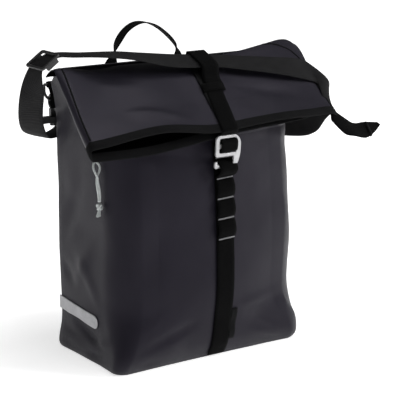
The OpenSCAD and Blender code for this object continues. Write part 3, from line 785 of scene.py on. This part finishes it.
def closure():
    """Webbing down the flap, its under layer, the keeper and the loop over the strap."""
    half = np.array([13.5, 0, 0])
    path = [(out_point(closure_x(v), v, 2.0), half) for v in np.linspace(0.02, 1.0, 14)]
    path += [(out_point(closure_x(1.0), 1.0, 0.6) + np.array([1.0, 0.6, -4.0]), half),
             (np.array([WEB_X, -114.6, 330]), half), (np.array([WEB_X, -113.8, 325]), half)]
    web = strip("closure_strap", path, 1.7, WEB, per=4)
    tail = [(out_point(closure_x(v) - 17 + 9 * v, v, 1.3), np.array([8.5 - 5 * v, 0, 0]))
            for v in np.linspace(0.03, 0.93, 10)]
    under = strip("closure_under_layer", tail, 1.4, BIND, per=4)
    keeper = []
    for v0 in (0.42, 0.52):
        x = closure_x(v0)
        keeper.append([out_point(x + d, v0, 2.2 + 2.9 * math.exp(-(abs(d) / 15.5) ** 6))
                       for d in np.linspace(-19, 19, 17)])
    rows = [[a + (b - a) * f for a, b in zip(*keeper)] for f in np.linspace(0, 1, 6)]
    band = thicken(grid("webbing_keeper", rows, WEB), 1.3)
    over = spline([(-4.5, 423.5), (-5.2, 428), (-9.5, 431.2), (-20, 428.2), (-36, 422.6),
                   (-47.6, 417.6), (-52.2, 412), (-53.4, 405)], 5)   # y and z over the shoulder strap
    down = [out_point(closure_x(v), v, 3.6) for v in (0.37, 0.4, 0.43)]
    side = list(over) + [p[1:] for p in down]
    rows = []
    for f in np.linspace(0, 1, 6):
        rows.append([np.array([closure_x(0.1) - 13.5 + 28 * f - 7 * k / len(side), q[0], q[1]])
                     for k, q in enumerate(side)])
    loop = thicken(grid("strap_loop", rows, WEB), 1.6)
    for obj, node in ((web, "closure_webbing"), (under, "closure_tail"), (band, "elastic_keeper"),
                      (loop, "strap_keeper")):
        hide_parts(node)
        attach(obj, "rolltop")


closure()

# Middle bar of the closure hook, which leans 4 degrees.
HOOK_AT = (Matrix.Translation(Vector((WEB_X, -118.8, 315.6)) * MM)
           @ Matrix.Rotation(math.radians(4), 4, "X"))


def hook_loop_web():
    """End of the closure webbing wrapped round the hook's middle bar."""
    path = [(0, 4.2, 17), (0, 4.2, 9), (0, 4.1, 0), (0, 3.2, -6.4), (0, 0, -8.2), (0, -3.2, -6.4),
            (0, -4.1, 0), (0, -3.8, 6.2), (0, -1.4, 8.2), (0, 2.4, 8.0)]
    obj = strip("hook_webbing", path_of((p, (13.6, 0, 0)) for p in path), 1.5, WEB, per=6)
    obj.data.transform(HOOK_AT)
    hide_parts("closure_loop")
    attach(obj, "rolltop")


hook_loop_web()


def rounded(points, r, steps=6):
    """Rounds the corners of a closed polygon; r is one radius or one for each corner."""
    out = []
    n = len(points)
    for i in range(n):
        p, a, b = (np.array(points[i], float), np.array(points[i - 1], float),
                   np.array(points[(i + 1) % n], float))
        rr = r[i] if isinstance(r, (list, tuple)) else r
        da, db = (a - p) / np.linalg.norm(a - p), (b - p) / np.linalg.norm(b - p)
        p0, p1 = p + da * rr, p + db * rr
        for k in range(steps + 1):
            t = k / steps
            out.append(tuple((1 - t) ** 2 * p0 + 2 * t * (1 - t) * p + t * t * p1))
    return out


def plate_from(name, outer, holes, thick, bevel, mat):
    """Flat plate with rounded edges from 2-D outlines."""
    data = bpy.data.curves.new(name, "CURVE")
    data.dimensions, data.fill_mode = "2D", "BOTH"
    data.extrude = (thick / 2 - bevel) * MM
    data.bevel_depth, data.bevel_resolution = bevel * MM, 3
    data.offset = -bevel * MM
    for ring in [outer] + holes:
        sp = data.splines.new("POLY")
        sp.points.add(len(ring) - 1)
        for q, p in zip(sp.points, ring):
            q.co = (p[0] * MM, p[1] * MM, 0, 1)
        sp.use_cyclic_u = True
    obj = bpy.data.objects.new(name, data)
    bpy.context.collection.objects.link(obj)
    bpy.context.view_layer.update()
    mesh = bpy.data.meshes.new_from_object(obj.evaluated_get(bpy.context.evaluated_depsgraph_get()))
    bpy.data.objects.remove(obj)
    mesh.materials.clear()
    mesh.materials.append(mat)
    out = bpy.data.objects.new(name, mesh)
    bpy.context.collection.objects.link(out)
    fix_normals(out)
    for poly in mesh.polygons:
        poly.use_smooth = True
    m = out.modifiers.new("edge", "EDGE_SPLIT")
    m.split_angle = math.radians(50)
    return apply_all(out)


def g_hook():
    """Flat hook: a closed ring with a middle bar, and an open arm below it."""
    outer = rounded([(-21, 15), (12, 15), (20.7, 7), (20.7, -14), (17, -26), (12, -31.5), (-22, -31.5),
                     (-22, -21.5), (-17.5, -21.5), (-17.5, -26.5), (9, -26.5), (9, -15.5), (-21, -15.5)],
                    [6, 4, 7, 8, 4, 3, 3, 2.2, 2, 1.5, 3.5, 0.8, 4])
    holes = [rounded([(-15, 10.4), (12.4, 10.4), (14, 3), (-15, 3)], 2.4),
             rounded([(-15, -3), (14, -3), (12.6, -10.2), (-15, -10.2)], 2.4)]
    obj = plate_from("closure_hook", outer, holes, 4.0, 1.2, METAL)
    obj.data.transform(HOOK_AT @ Matrix.Rotation(math.pi / 2, 4, "X"))
    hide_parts("g_hook")
    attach(obj, "g_hook")


g_hook()


# ---------------------------------------------------------------- front webbing
TACKS = [183, 211.5, 240, 268.5, 297]      # heights of the stitches


def front_web():
    """Front webbing, its raised loops, the hook's loop, the stitches and the tag."""
    half = np.array([14.6, 0, 0])
    path = [(on_front(WEB_X + 4.0 * smooth(180, 0, z), z, 1.6), half) for z in np.linspace(3, 318, 40)]
    base = strip("front_webbing", path, 1.7, WEB, per=3)
    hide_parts("daisy_webbing")
    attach(base, "root")
    loops = []
    for i, (z0, z1) in enumerate(zip(TACKS, TACKS[1:])):
        lift = 14.5 if i == 3 else 4.6     # the last one holds the hook
        pts = []
        for k in range(11):
            f = k / 10
            z = z0 + 1.5 + (z1 - z0 - 3) * f
            c = on_front(WEB_X, z, 3.4 + lift * math.sin(math.pi * f) ** 0.8)
            c[2] -= (1.6 if i < 3 else 0) * math.sin(math.pi * f)
            pts.append((c, half))
        loops.append(strip("web_loop_%d" % i, pts, 1.6, WEB, per=4))
    hook = loops.pop()
    hook.name = "hook_loop_band"
    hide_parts("hook_loop")
    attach(hook, "root")
    daisy = join("front_loops", loops)
    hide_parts("daisy_loops")
    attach(daisy, "root")
    threads = []
    for n, z in enumerate(TACKS):
        pts = []
        for k in range(27):
            x = WEB_X - 13 + k
            slant = (x - WEB_X) * 0.045
            p = on_front(x, z, 5.0)
            p[2] += slant + (0.9 if k % 2 else -0.9)
            pts.append(p)
        t, _ = tube("tack_%d" % n, pts, 0.55, THREAD, 6, 2)
        threads.append(t)
    tacks = join("bar_tack_stitches", threads)
    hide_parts("bar_tacks")
    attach(tacks, "root")
    tag_rows = []
    for z in np.linspace(26, 74, 14):
        out = 1.6 + 0.9 * math.sin((z - 26) * 0.2)
        tag_rows.append([on_front(x, z, out) for x in np.linspace(20.5, 31, 6)])
    tag = thicken(grid("woven_tag", tag_rows, BIND), 0.8)
    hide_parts("side_tag")
    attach(tag, "root")


front_web()


def reflectors():
    """Strip along each side, with a round front end."""
    straight, tip = np.linspace(80, -20, 30), 10 * np.sin(np.linspace(0.15, 1, 8) * math.pi / 2)
    for sign, side in ((-1, "left"), (1, "right")):
        rows = []
        for y in np.concatenate([straight, -20 - tip]):
            z = 63.5 + 5.2 * (y + 20) / 100
            half = 9.8 if y > -20 else 9.8 * math.sqrt(max(1 - ((-20 - y) / 10.02) ** 2, 0.002))
            rows.append([on_side(sign, y, z + half * k, 0.9) for k in np.linspace(-1, 1, 9)])
        obj = thicken(grid("reflector_film_" + side, rows, REFLECT), 0.5)
        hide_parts("reflector_" + side)
        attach(obj, "root")


reflectors()


def zip_tape():
    """Tape round the left front corner, raised along the zip's teeth."""
    rows = []
    for z in np.linspace(308, 324, 9):
        row = []
        ring = [p for p in outline(z) if p[0] < -92 and p[1] < 4]
        for x, y in ring:
            q = shape_body((x, y, z))
            out = np.array([q[0] + 95, q[1] + 35, 0])
            out /= np.linalg.norm(out)
            lift = 1.2 + (1.3 if abs(z - 316) < 1.5 else 0)
            row.append(q + out * lift)
        rows.append(row)
    obj = thicken(grid("zip_band", rows, BIND), 0.8)
    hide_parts("zip_tape")
    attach(obj, "root")


zip_tape()


# ---------------------------------------------------------------- shoulder strap
def shoulder_strap():
    """One strap in two pieces: left and over the flap, then down the right end to the back."""
    left = [((-131, 107, 328), (0, 15, 0)), ((-133, 108, 318), (0, 16, 0)),
            ((-144, 108, 311), (0, 18, 0)), ((-158, 106, 309), (0, 18, 0)),
            ((-172, 99, 313), (-5, 17.4, -1)), ((-188, 86, 325), (-10, 15, -2)),
            ((-201, 68, 343), (-12, 13, -1)), ((-211, 48, 365), (-12, 13, 0)),
            ((-218, 30, 387), (-10, 15.4, 0)), ((-221, 21, 405), (-5, 18, 0)),
            ((-219, 16.4, 421.6), (0, 19, 0)), ((-213, 16, 426.4), (0, 19, 0)),
            ((-206, 16, 431.4), (0, 19, 0)), ((-198.5, 16, 436.4), (0, 19, 0)),
            ((-191.5, 15, 439.2), (0, 19, 0)), ((-178, 3, 440.4), (0, 18.8, 1.2)),
            ((-160, -13, 440.8), (0, 18.8, 0.9)), ((-139, -21.7, 440.2), (0, 18.7, 1.6)),
            ((-105, -25.5, 437.0), (0, 18.5, 3.3)), ((-75, -27.1, 431.8), (0, 18.1, 4.9)),
            ((-50, -27.5, 427), (0, 17.5, 6.7)), ((-24, -28.1, 423.3), (0, 17.2, 7.3)),
            ((2, -29.3, 421.2), (0, 17.3, 7)), ((26, -30, 420.2), (0, 17.7, 6.4))]
    a = strip("strap_left_and_over", path_of(left), 1.8, STRAP, per=6, crown=0.6)
    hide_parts("shoulder_strap_left", "shoulder_strap_over")
    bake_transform(a)
    # Back and front edge of the strap where it lies on the flap.
    edges = [((24, -12, 424.4), (24, -47.6, 412.8)), ((50, -14, 424.2), (50, -48.4, 410.0)),
             ((80, -21.8, 421.4), (80, -55, 404.8)), ((115, -30, 418.1), (115, -62.0, 399.0)),
             ((150, -38.8, 415.0), (150, -67.4, 391.4)), ((178, -41.5, 411.5), (178, -66.5, 384.0)),
             ((198, -43.5, 404.8), (199, -67, 376))]
    b_path = [((back + front) / 2, (front - back) / 2) for back, front in path_of(edges)]
    b_path += path_of([((207, -76, 370), (-12, -10, -11)), ((214, -79, 353), (-8, -15, -8)),
                       ((219, -72, 335), (-4, -18, 0)), ((221, -58, 318), (-3, -12, 12)),
                       ((215, -32, 308), (-3, -6, 17)), ((207, 2, 303), (-3, -3, 18)),
                       ((200, 34, 301), (-3, -3, 18)), ((192, 64, 302), (-4, -4, 17)),
                       ((180, 88, 305), (-5, -11, 12)), ((162, 104, 308), (-2, -18, 0)),
                       ((144, 108, 311), (0, -17, 0)), ((133, 108, 319), (0, -15, 0)),
                       ((130, 107, 328), (0, -14, 0))])
    b = strip("strap_right", b_path, 1.8, STRAP, per=6, crown=0.6)
    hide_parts("shoulder_strap_right")
    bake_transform(b)


shoulder_strap()


def end_tab():
    """Twisted end of the closing strap that hangs from the right end of the lip."""
    path = [((196, -104, 337), (1, 3, 9)), ((206, -108, 327), (2, 4, 10)),
            ((220, -110, 316.5), (3, 5, 10.5)), ((236, -108, 310.5), (2, 8, 8.5)),
            ((250, -104, 306.8), (0, 7, 9.5)), ((264, -100, 305.5), (-1, 6, 10.5)),
            ((281, -96, 307), (-2, 4, 7.4)), ((297, -92, 310), (-2, 2, 1.8))]
    obj = strip("strap_end_tab", path_of(path), 2.6, WEB, per=7)
    seam_path = path_of([((268.5, -101.5, 306.2), (-1.5, 6, 10)),
                         ((272, -100.5, 306.4), (-1.6, 5.4, 9.4))])
    seam = strip("end_tab_seam", [(c, w * 1.02) for c, w in seam_path], 4.0, BIND, per=2)
    obj = join("strap_end_tab", [obj, seam])
    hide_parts("end_tab")
    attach(obj, "rolltop")


end_tab()


def shift(x, y, z):
    return Matrix.Translation(Vector((x, y, z)) * MM)


def tri_glide():
    """Three-bar adjuster: a ring above the strap and a middle bar under it."""
    tilt = math.atan2(20, 28)
    place = shift(-206, 16, 431.4) @ Matrix.Rotation(-tilt, 4, "Y")
    outer = rounded([(-17, -25), (17, -25), (17, 25), (-17, 25)], 6)
    holes = [rounded([(-12.6, -20), (12.6, -20), (12.6, 20), (-12.6, 20)], 2.5)]
    ring = plate_from("glide_ring", outer, holes, 3.6, 1.3, PLASTIC)
    ring.data.transform(shift(0, 0, 3.1))
    parts = [ring]
    for s in (-1, 1):
        parts.append(soft_box("glide_side", (20, 4.6, 7.6), 1.4, PLASTIC, shift(0, s * 22.4, -0.4)))
    parts.append(soft_box("glide_bar", (5, 48, 2.9), 1.1, PLASTIC, shift(0, 0, -2.75)))
    obj = join("strap_adjuster", parts)
    obj.data.transform(place)
    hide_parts("tri_glide")
    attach(obj, "tri_glide")


tri_glide()


def handle():
    """Carrying handle, and the sewn feet at its ends."""
    section = [  # x, z, half-width vector
        (-62, 391, (-12.5, 0, 0)), (-61, 400, (-12.4, -1, 0)), (-59, 413, (-11, -4, 0)),
        (-53.5, 427, (-5, -10.2, 0)), (-47.5, 439, (-1, -11, 0.6)), (-37, 452.5, (0, -11, 0.8)),
        (-22, 462, (0, -11, 0)), (-6, 464.8, (0, -11, 0)), (11, 460.5, (0, -11, 0)),
        (27, 451, (0, -11, -0.8)), (41, 439, (-1, -11, -0.6)), (51, 427, (-4, -10.4, 0)),
        (55, 414, (-9.5, -6, 0)), (53.5, 402, (-12, -1, 0)), (51, 391, (-12.5, 0, 0))]
    path = [((x, 85.4, z), w) for x, z, w in section]
    obj = strip("carry_strap", path_of(path), 2.0, WEB, per=7, crown=0.5)
    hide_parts("carry_handle")
    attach(obj, "carry_handle")
    foot_z = 379.5
    corner = [(-10, -9), (10, 9), (10, -9), (-10, 9), (-10, -9)]   # crossed stitching
    feet = []
    for x in (-62, 51):
        foot = soft_box("handle_foot", (25.4, 2.4, 24), 0.9, WEB, shift(x, 83.6, foot_z))
        pts = []
        for k in range(33):
            f = k / 32 * 4
            seg = min(int(f), 3)
            (ax, az), (bx, bz) = corner[seg], corner[seg + 1]
            cx, cz = ax + (bx - ax) * (f - seg), az + (bz - az) * (f - seg)
            pts.append(np.array([x + cx, 85.0, foot_z + cz]))
        stitch, _ = tube("handle_stitch", pts, 0.45, BIND, 6, 1)
        feet += [foot, stitch]
    obj = join("handle_feet", feet)
    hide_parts("handle_anchors")
    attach(obj, "root")


handle()


def ring_tabs():
    """Webbing from the back, over the ring's bar and down again."""
    section = [(83.3, 353), (83.4, 366), (85.0, 378), (89.6, 386), (93.0, 389.6), (97.2, 388.6),
               (97.9, 384.5), (95, 382.2), (90, 380.6), (86.4, 374), (85.2, 366), (85.1, 356)]
    for sign, side in ((-1, "left"), (1, "right")):
        path = path_of(((sign * 150, y, z), (10, 0, 0)) for y, z in section)
        obj = strip("ring_webbing_" + side, path, 1.4, WEB, per=6)
        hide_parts("ring_tab_" + side)
        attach(obj, "root")


ring_tabs()


# ---------------------------------------------------------------- carried-over CAD nodes
FINISHES = [
    (PLASTIC, ("d_ring_left", "d_ring_right", "clip_base_left", "clip_base_right", "zip_slider",
               "zip_puller", "hook_rail", "rack_hook_left", "rack_hook_right", "lower_rail",
               "anchor_arm")),
    (BLACKMETAL, ("snap_hook_left", "snap_hook_right", "snap_gate_left", "snap_gate_right")),
    (STEEL, ("panel_screws", "anchor_bolt")),
    (LATCH, ("hook_latch_left", "hook_latch_right")),
]
for finish, nodes in FINISHES:
    for node in nodes:
        for material_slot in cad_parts[node].material_slots:
            material_slot.material = finish


# ---------------------------------------------------------------- stage and light
# Name, place and size in metres, and power in watts.
LIGHTS = [("key", (2.7, -2.0, 2.0), 92, 1.3), ("fill", (-3.0, 0.6, 1.9), 4, 1.4),
          ("top", (0.1, -0.7, 3.2), 44, 1.6)]
WORLD_LIGHT = 0.1               # the world lights at a tenth of what the camera sees
FLOOR_HALF = 30
FLOOR_GLOW = (0.25, 0.7, 0.66, 1.0)        # from and to distance in metres, then emission


def add_floor():
    """White floor that glows more with distance, so that it meets the white world."""
    e = FLOOR_HALF
    mesh = bpy.data.meshes.new("floor")
    mesh.from_pydata([(-e, -e, 0), (e, -e, 0), (e, e, 0), (-e, e, 0)], [], [(0, 1, 2, 3)])
    floor = bpy.data.objects.new("floor", mesh)
    bpy.context.collection.objects.link(floor)
    n = Nodes("floor_white")
    n.surface({"Base Color": (0.94, 0.94, 0.94, 1), "Emission Color": (1, 1, 1, 1), "Roughness": 0.9})
    size = n.add("ShaderNodeVectorMath", operation="LENGTH")
    n.tree.links.new(n.add("ShaderNodeNewGeometry").outputs["Position"], size.inputs[0])
    glow = n.add("ShaderNodeMapRange")
    for key, value in zip(("From Min", "From Max", "To Min", "To Max"), FLOOR_GLOW):
        glow.inputs[key].default_value = value
    n.link(size, "Value", glow, "Value")
    n.link(glow, "Result", n.bsdf, "Emission Strength")
    mesh.materials.append(n.mat)


def add_world():
    world = bpy.data.worlds.new("world")
    bpy.context.scene.world = world
    world.use_nodes = True
    tree = world.node_tree
    background = tree.nodes["Background"]
    background.inputs["Color"].default_value = (1, 1, 1, 1)
    seen = tree.nodes.new("ShaderNodeLightPath")
    amount = tree.nodes.new("ShaderNodeMapRange")
    amount.inputs["To Min"].default_value = WORLD_LIGHT
    amount.inputs["To Max"].default_value = 1.0
    tree.links.new(seen.outputs["Is Camera Ray"], amount.inputs["Value"])
    tree.links.new(amount.outputs["Result"], background.inputs["Strength"])


def add_lights():
    for name, at, power, size in LIGHTS:
        data = bpy.data.lights.new(name, "AREA")
        data.energy, data.size = power, size
        obj = bpy.data.objects.new(name, data)
        bpy.context.collection.objects.link(obj)
        obj.location = at
        aim = Vector((0, 0, 0.25)) - Vector(at)
        obj.rotation_euler = aim.to_track_quat("-Z", "Y").to_euler()


add_floor()
add_world()
add_lights()
bpy.context.scene.view_settings.view_transform = "Standard"


bpy.context.view_layer.update()
